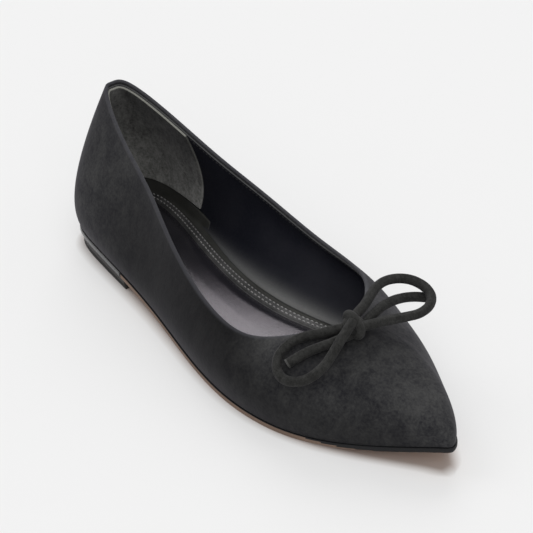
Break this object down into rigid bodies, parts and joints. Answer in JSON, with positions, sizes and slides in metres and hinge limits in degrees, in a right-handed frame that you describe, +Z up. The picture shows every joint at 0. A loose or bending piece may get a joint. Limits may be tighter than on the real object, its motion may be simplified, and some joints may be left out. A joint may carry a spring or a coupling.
{
  "type": "flat shoe",
  "caption": "Woman's pointed flat shoe with a low block heel, a deep open topline, a leather sole and a cord bow on the vamp.",
  "frame": {"origin": "middle of the shoe's own box, without the bow, on the floor that it stands on", "axes": "+X to the toe, +Y to the big-toe side, +Z up"},
  "size_m": [0.2554, 0.0904, 0.0773],
  "materials": {
    "suede": "black suede with a short nap",
    "lining_leather": "smooth black lining leather",
    "grip_suede": "dark grey suede",
    "sock_leather": "smooth dark sock leather with a soft sheen",
    "sole_leather": "tan sole leather, its edge black around the heel and at the tip of the toe",
    "heel_leather": "black polished heel covering",
    "top_piece_rubber": "matt black rubber",
    "cord_suede": "black suede around a round core"
  },
  "bodies": {
    "root": {"upper": "suede", "outsole": "sole_leather", "heel_block": "heel_leather", "heel_top_piece": "top_piece_rubber", "insole": "sock_leather", "heel_grip": "grip_suede", "bow_knot": "cord_suede", "bow_loop_outer": "cord_suede", "bow_loop_inner": "cord_suede", "bow_end_outer": "cord_suede", "bow_end_inner": "cord_suede"}
  },
  "joints": []
}
